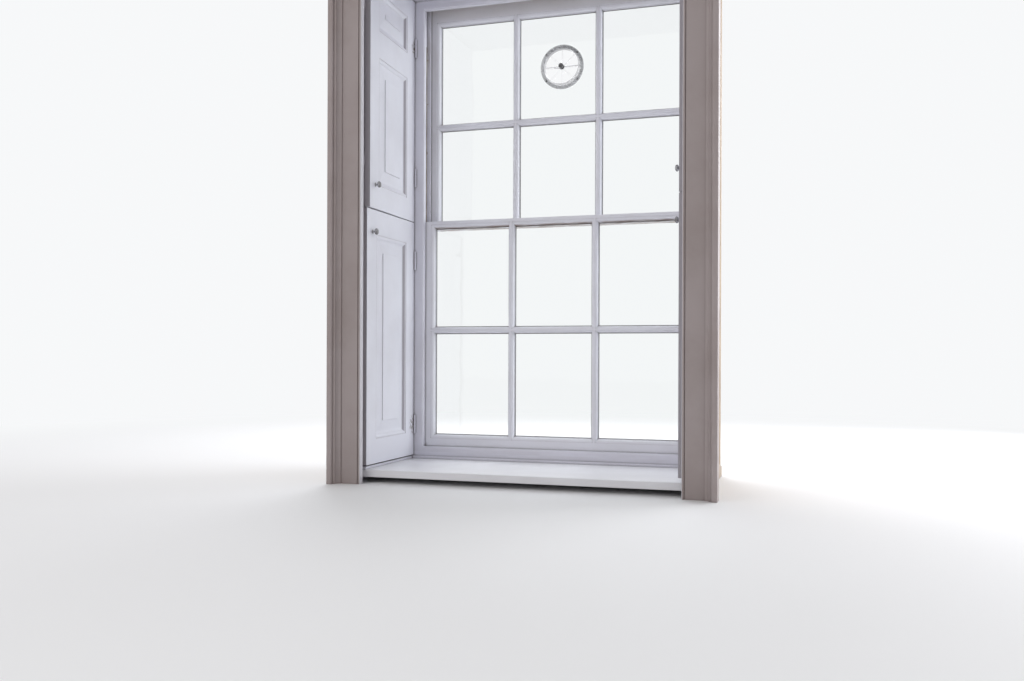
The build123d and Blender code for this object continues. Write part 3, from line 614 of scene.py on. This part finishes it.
# Panes: old drawn glass, three millimetres thick and a little wavy, set into the rebates of the
# sashes from the street side.
def old_glass(name):
    glass, tree, shader, place = new_finish(name)
    shader.inputs["Base Color"].default_value = (0.97, 0.985, 0.98, 1)
    shader.inputs["Transmission Weight"].default_value = 1.0
    shader.inputs["Roughness"].default_value = 0.0
    shader.inputs["IOR"].default_value = 1.5
    waves = brushed_noise(tree, place, (9, 9, 5), 1, -700, 0, 3.0)
    tree.links.new(bumped(tree, waves, 0.06, 0.01, -300, -200).outputs["Normal"],
                   shader.inputs["Normal"])
    clear = add_node(tree, "ShaderNodeBsdfTransparent", 0, -250)
    clear.inputs["Color"].default_value = (0.96, 0.975, 0.97, 1)
    rays = add_node(tree, "ShaderNodeLightPath", 0, 300)
    lit = add_node(tree, "ShaderNodeMixShader", 250, 0)
    tree.links.new(rays.outputs["Is Shadow Ray"], lit.inputs["Fac"])
    tree.links.new(shader.outputs[0], lit.inputs[1])
    tree.links.new(clear.outputs[0], lit.inputs[2])
    tree.links.new(lit.outputs[0], tree.nodes["Material Output"].inputs["Surface"])
    return glass


window_glass = old_glass("old_window_glass")
dress(["lower_sash_panes", "upper_sash_panes"], window_glass)


# Ventilator: two clear plastic rings screwed together through a hole in the pane, with a vaned
# wheel on a dark hub that the wind turns. Its upper half is darkened with painted shade.
def clear_plastic(name, colour, roughness, alpha):
    plastic, tree, shader, place = new_finish(name)
    dust = brushed_noise(tree, place, (70, 70, 70), 4, -700, 0, 3.0)
    tone = mix_colours(tree, ramp(tree, dust, 0.4, 0.7, -450, 100), colour,
                       darker(colour, 0.75, 0.74, 0.72), -250, 100)
    # Painted shade: the plastic turns darker towards the top of the ring.
    shaded_top_mask = ramp(tree, axis_of(tree, "Object", "Z"), 1.515, 1.595, -700, 500)
    painted_shade = mix_colours(tree, shaded_top_mask, tone, darker(colour, 0.42, 0.42, 0.43), -50, 300)
    tree.links.new(painted_shade, shader.inputs["Base Color"])
    shader.inputs["Transmission Weight"].default_value = 0.6
    shader.inputs["IOR"].default_value = 1.49
    shader.inputs["Alpha"].default_value = alpha
    tree.links.new(spread(tree, dust, roughness, roughness + 0.25, -250, -150),
                   shader.inputs["Roughness"])
    return plastic


vent_plastic = clear_plastic("ventilator_plastic", (0.60, 0.60, 0.62, 1), 0.12, 0.5)
vane_plastic = clear_plastic("vane_plastic", (0.93, 0.94, 0.95, 1), 0.05, 0.09)
hub_plastic = metal("dark_hub_plastic", (0.10, 0.10, 0.105, 1), (0.16, 0.155, 0.15, 1), 0.4,
                    metallic=0.0)
glass_front = 0.2505
vent_centre = (0.016, glass_front, 1.523)
room_ward = (0, -1, 0)
vent_ring = turned("ventilator_ring", [
    (66.5, 18.2), (67.3, 19), (71.2, 19), (72, 18.2), (72, 4.2), (72.9, 3.2), (74, 3), (82.2, 3),
    (83, 2.2), (83, 0), (70, 0), (70, -3), (80.2, -3), (81, -3.8), (81, -11.2), (80.2, -12),
    (67.3, -12), (66.5, -11.2), (66.5, 18.2)], vent_centre, room_ward, 96)
vent_bridge = slab("ventilator_bridge", (-51, 247.6, 1521.2), (83, 250.4, 1524.8), 0.5)
vent_hub = turned("ventilator_hub", [
    (0, -11), (2, -11), (2, 0), (9, 0), (9, 2.4), (8.4, 3), (5, 3.4), (5, 11.4), (8.2, 12),
    (9, 12.8), (9, 20.4), (8.3, 21.4), (6.8, 22), (0, 22)], vent_centre, room_ward, 40)
flat_arm = slab("flat_arm", (-31, 245.2, -2), (3, 246.4, 2), 0.5)
lean = Matrix.Translation((vent_centre[0], 0, vent_centre[2] - 9 * MM)) @ Matrix.Rotation(
    math.radians(11), 4, "Y")
vent_arm = placed_copy(flat_arm, "ventilator_dark_arm", lean)
bpy.data.objects.remove(flat_arm)
vent_ring = finished(joined("ventilator_clear_frame", [vent_ring, vent_bridge, vent_arm]),
                     vent_plastic, "upper_sash")
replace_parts(vent_ring, "ventilator_frame")
vent_screws = screws("ventilator_screws", [
    (16 + 60 * across, 247.5, 1523 + 50 * up) for across in (-1, 1) for up in (-1, 1)], room_ward)
finished(joined("ventilator_hub_and_screws", [vent_hub, vent_screws]), hub_plastic,
         "upper_sash")
wheel_parts = [turned("rotor_hub", [
    (2.4, -1), (8.4, -1), (9, -1.6), (9, -9.4), (8.4, -10), (2.4, -10), (2.4, -1)], vent_centre,
    room_ward, 32)]
vane = slab("vane", (7, -4.5, -0.6), (64.5, 4.5, 0.6), 0.3)
for index in range(8):
    spoke = (Matrix.Translation((vent_centre[0], vent_centre[1] + 5.5 * MM, vent_centre[2]))
             @ Matrix.Rotation(math.pi / 4 * index, 4, "Y")
             @ Matrix.Rotation(math.radians(52), 4, "X"))
    wheel_parts.append(placed_copy(vane, f"vane_{index}", spoke))
bpy.data.objects.remove(vane)
rotor = finished(joined("ventilator_vaned_wheel", wheel_parts), vane_plastic,
                 "ventilator_rotor")
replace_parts(rotor, "ventilator_rotor")

# Shutters: framed softwood leaves with raised and fielded panels, each with a narrow back flap
# hinged to it. Painted brighter than the frame and chipped at the hinges, with painted shade on
# the mouldings that turn away from the glass.
shutter_white = (0.81, 0.81, 0.87, 1)
shutter_shade = (0.76, 0.755, 0.81, 1)
hinge_chips = (((-0.540, 0.150, 0.175), 0.05), ((-0.540, 0.150, 1.612), 0.04),
               ((0.540, 0.150, 0.175), 0.05))
shutter_paint = oil_paint("shutter_paint", shutter_white, shutter_shade, "z", seed=12.0,
                          gloss=0.38, chips=hinge_chips, corner_dark=0.75, painted_moulding_shade=True)
dress([f"{hand}_{level}_{piece}" for hand in sides for level in ("lower", "upper")
       for piece in ("leaf", "flap")], shutter_paint)

# Knobs and hinges: turned knobs of old nickel plate, screwed into the leaves, and iron butt
# hinges with three knuckles, screwed on and under as many coats as the wood.
knob_nickel = metal("knob_nickel", (0.42, 0.42, 0.43, 1), (0.22, 0.21, 0.21, 1), 0.22)
knob_heights = {"lower": 0.867, "upper": 1.030}
mirror = Matrix.Scale(-1, 4, (1, 0, 0))
ajar = {"left_lower": 0, "left_upper": 1.5, "right_lower": 2.3, "right_upper": 2.3}
leaf_pin = Vector((-0.5355, 0.1495, 0))
hinge_heights = {"lower": (175, 800), "upper": (1117, 1612)}
hinge_paint = oil_paint("hinge_paint", frame_white, frame_shade, "z", seed=14.0, wear=0.04)
knob = turned("turned_knob", [
    (0, 0), (6.8, 0), (6.8, 0.8), (6.2, 1.6), (4.3, 2.2), (3.6, 4), (3.8, 6.6), (5.2, 8.6),
    (8.6, 9.8), (10.5, 11.8), (11, 14), (10.6, 16.4), (9, 18.5), (6, 19.6), (0, 20)],
    (0, 0, 0), (1, 0, 0), 36)


def with_leaf(name):
    """The place of a leaf's fittings, turned as far as the leaf stands ajar."""
    swing = (Matrix.Translation(leaf_pin) @ Matrix.Rotation(math.radians(ajar[name]), 4, "Z")
             @ Matrix.Translation(-leaf_pin))
    return mirror @ swing if name.startswith("right") else swing


knuckle = 70 / 3
plate = slab("hinge_plate", (-560, 152.6, -35), (-535.5, 154, 35), 0.25)
barrel = turned("hinge_barrel", [
    (0, -1.3), (1.8, -1.1), (2.9, -0.5), (3.3, 0), (3.75, 0), (4, 0.3), (4, knuckle - 0.3),
    (3.75, knuckle), (0, knuckle)], (leaf_pin.x, leaf_pin.y, -35 * MM), (0, 0, 1), 28)
crown = placed_copy(barrel, "hinge_crown", Matrix.Scale(-1, 4, (0, 0, 1)))
pin = turned("hinge_pin", [
    (0, -knuckle / 2), (1.5, -knuckle / 2), (1.5, knuckle / 2), (0, knuckle / 2)],
    leaf_pin, (0, 0, 1), 16)
plate_heads = screws(
    "frame_plate_screws", [(-553, 152.6, 22), (-547, 152.6, 0), (-553, 152.6, -22)],
    (0, -1, 0), 0.9, 0.12)
butt = joined("butt_hinge", [plate, barrel, crown, pin, plate_heads])
butts = []
for hand, side in sides.items():
    for height in (*hinge_heights["lower"], *hinge_heights["upper"]):
        place = Matrix.Translation((0, 0, height * MM))
        if side > 0:
            place = place @ mirror
        butts.append(placed_copy(butt, f"{hand}_butt_{height}", place))
bpy.data.objects.remove(butt)
frame_butts = finished(joined("painted_butt_hinges", butts), hinge_paint, "frame")
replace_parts(frame_butts, "shutter_hinges")

sleeve = turned("hinge_sleeve", [
    (3.2, 0.35 - knuckle / 2), (3.8, 0.35 - knuckle / 2), (4.06, 0.7 - knuckle / 2),
    (4.06, knuckle / 2 - 0.7), (3.8, knuckle / 2 - 0.35), (3.2, knuckle / 2 - 0.35),
    (3.2, 0.35 - knuckle / 2)], leaf_pin, (0, 0, 1), 28)
leaf_heads = screws(
    "leaf_plate_screws", [(-553, 152.4, 22), (-547, 152.4, 0), (-553, 152.4, -22)],
    (0, 1, 0), 0.9, 0.1)
leaf_half = joined("leaf_hinge_half", [sleeve, leaf_heads])
for name in ajar:
    hand, level = name.split("_")
    swing = with_leaf(name)
    place = swing @ Matrix.Translation((-0.5405, -0.210, knob_heights[level]))
    head = finished(placed_copy(knob, f"{name}_turned_knob", place), knob_nickel, f"{name}_leaf")
    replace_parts(head, f"{name}_knob")
    halves = [placed_copy(leaf_half, f"{name}_hinge_{height}",
                          swing @ Matrix.Translation((0, 0, height * MM)))
              for height in hinge_heights[level]]
    finished(joined(f"{name}_hinge_halves", halves), hinge_paint, f"{name}_leaf")
for pattern in (knob, leaf_half, screw):
    bpy.data.objects.remove(pattern)

# Window board: one wide softwood board with an eased nosing, housed behind the sill fillet and
# nailed down, in the whitest paint.
board_paint = oil_paint("board_paint", (0.86, 0.86, 0.89, 1), (0.82, 0.815, 0.84, 1), "x",
                        seed=16.0, gloss=0.33)
dress(["window_board"], board_paint)

# Linings and architrave: deal linings nailed round the reveal, and the moulded trim that frames
# them, mitred at the top corners. The trim's white paint is darkened as painted shade, and its
# inner bead is lightened as a painted highlight.
dress(["boxing_linings"], paint_up)
dress(["soffit_lining"], paint_across)
# Painted shade: the architrave's white is given dark and warm, as it looks in shade.
trim_white_in_painted_shade = (0.40, 0.345, 0.34, 1)
trim_tone_in_painted_shade = (0.35, 0.295, 0.285, 1)
trim_up = oil_paint("architrave_paint_up", trim_white_in_painted_shade, trim_tone_in_painted_shade, "z", seed=18.0, gloss=0.45,
                    corner_dark=0.7)
trim_across = oil_paint("architrave_paint_across", trim_white_in_painted_shade, trim_tone_in_painted_shade, "x", seed=19.0,
                        gloss=0.45, corner_dark=0.7)


def paint_bead_highlight(paint, axis, low, high):
    tree = paint.node_tree
    shader = tree.nodes["Principled BSDF"]
    # Painted highlight: the inner bead is lightened where window light would catch it.
    bead = ramp(tree, distance_from_middle(tree, axis), high, low, -300, -1000)
    under = shader.inputs["Base Color"].links[0].from_socket
    tree.links.new(mix_colours(tree, bead, under, (0.68, 0.66, 0.69, 1), -50, -900),
                   shader.inputs["Base Color"])


paint_bead_highlight(trim_up, "X", 0.5420, 0.5436)
paint_bead_highlight(trim_across, "Z", 1.7985, 1.8001)
dress(["left_architrave", "right_architrave"], trim_up)
dress(["head_architrave"], trim_across)

# Studio: a pale floor that fades into a pale backdrop, two cool soft lamps outside the window
# and a weaker warm one inside.
bpy.ops.object.select_all(action="DESELECT")
bpy.ops.mesh.primitive_plane_add(size=30, location=(0, 0, 0))
floor = bpy.context.object
floor.name = "floor"
backdrop_colour = (0.93, 0.94, 0.95, 1)
floor_paint, floor_tree, floor_shader, floor_place = new_finish("floor_paint")
floor_shader.inputs["Base Color"].default_value = (0.8, 0.8, 0.8, 1)
floor_shader.inputs["Roughness"].default_value = 0.7
from_window = add_node(floor_tree, "ShaderNodeVectorMath", -700, 200, operation="LENGTH")
floor_tree.links.new(floor_place, from_window.inputs[0])
far = ramp(floor_tree, from_window.outputs["Value"], 1.6, 4.2, -500, 200)
floor_rays = add_node(floor_tree, "ShaderNodeLightPath", -900, 600)
floor_seen = either(floor_tree, floor_rays.outputs["Is Camera Ray"],
                    floor_rays.outputs["Is Transmission Ray"], -600, 600)
floor_glow = add_node(floor_tree, "ShaderNodeEmission", 0, -200)
floor_glow.inputs["Color"].default_value = backdrop_colour
floor_mix = add_node(floor_tree, "ShaderNodeMixShader", 300, 0)
floor_tree.links.new(both(floor_tree, far, floor_seen, -300, 400), floor_mix.inputs["Fac"])
floor_tree.links.new(floor_shader.outputs[0], floor_mix.inputs[1])
floor_tree.links.new(floor_glow.outputs[0], floor_mix.inputs[2])
floor_tree.links.new(floor_mix.outputs[0], floor_tree.nodes["Material Output"].inputs["Surface"])
floor.data.materials.append(floor_paint)

world = bpy.data.worlds.new("studio")
bpy.context.scene.world = world
world.use_nodes = True
tree = world.node_tree
tree.nodes.clear()
rays = add_node(tree, "ShaderNodeLightPath", -800, 0)
seen = either(tree, rays.outputs["Is Camera Ray"], rays.outputs["Is Transmission Ray"], -600, 0)
seen_or_mirrored = either(tree, seen, rays.outputs["Is Glossy Ray"], -400, 0)
soft_light = add_node(tree, "ShaderNodeBackground", -200, 100)
soft_light.inputs["Color"].default_value = (0.99, 0.985, 1.0, 1)
directions = add_node(tree, "ShaderNodeTexCoord", -1100, 400)
parts = add_node(tree, "ShaderNodeSeparateXYZ", -900, 400)
tree.links.new(directions.outputs["Generated"], parts.inputs[0])
street_share = add_node(tree, "ShaderNodeMapRange", -600, 400)
street_share.inputs["From Min"].default_value = -0.7
street_share.inputs["From Max"].default_value = 0.7
street_share.inputs["To Min"].default_value = 0.46
street_share.inputs["To Max"].default_value = 0.88
tree.links.new(parts.outputs["Y"], street_share.inputs["Value"])
tree.links.new(street_share.outputs["Result"], soft_light.inputs["Strength"])
backdrop = add_node(tree, "ShaderNodeBackground", -200, -100)
backdrop.inputs["Color"].default_value = backdrop_colour
backdrop.inputs["Strength"].default_value = 1.0
choice = add_node(tree, "ShaderNodeMixShader", 0, 0)
output = add_node(tree, "ShaderNodeOutputWorld", 200, 0)
tree.links.new(seen_or_mirrored, choice.inputs["Fac"])
tree.links.new(soft_light.outputs[0], choice.inputs[1])
tree.links.new(backdrop.outputs[0], choice.inputs[2])
tree.links.new(choice.outputs[0], output.inputs["Surface"])


def soft_lamp(name, place, aim, size, power, colour):
    bpy.ops.object.light_add(type="AREA", location=place)
    lamp = bpy.context.object
    lamp.name = name
    lamp.data.shape = "SQUARE"
    lamp.data.size = size
    lamp.data.energy = power
    lamp.data.color = colour
    lamp.rotation_euler = (Vector(aim) - Vector(place)).to_track_quat("-Z", "Y").to_euler()
    lamp.visible_camera = False
    lamp.visible_transmission = False
    return lamp


soft_lamp("street_light_right", (2.4, 1.9, 1.5), (-0.5, 0, 0.5), 2.6, 84, (0.94, 0.96, 1.0))
soft_lamp("street_light_left", (-1.2, 2.7, 2.9), (0.3, 0, 0.3), 2.8, 84, (0.94, 0.96, 1.0))
room_light = soft_lamp("room_light", (-2.2, -3.6, 2.6), (0, 0, 0.9), 2.5, 26, (1.0, 0.95, 0.92))
room_light.visible_glossy = False

scene = bpy.context.scene
scene.view_settings.view_transform = "Standard"
camera_data = bpy.data.cameras.new("photo_camera")
camera = bpy.data.objects.new("photo_camera", camera_data)
scene.collection.objects.link(camera)
camera_data.sensor_width = 36.0
camera_data.lens = 34.17
camera_data.shift_y = 0.0161
camera.location = (0.944, -3.2845, 0.433)
camera.rotation_euler = (math.radians(90), math.radians(-0.2), math.radians(17.6))
scene.camera = camera
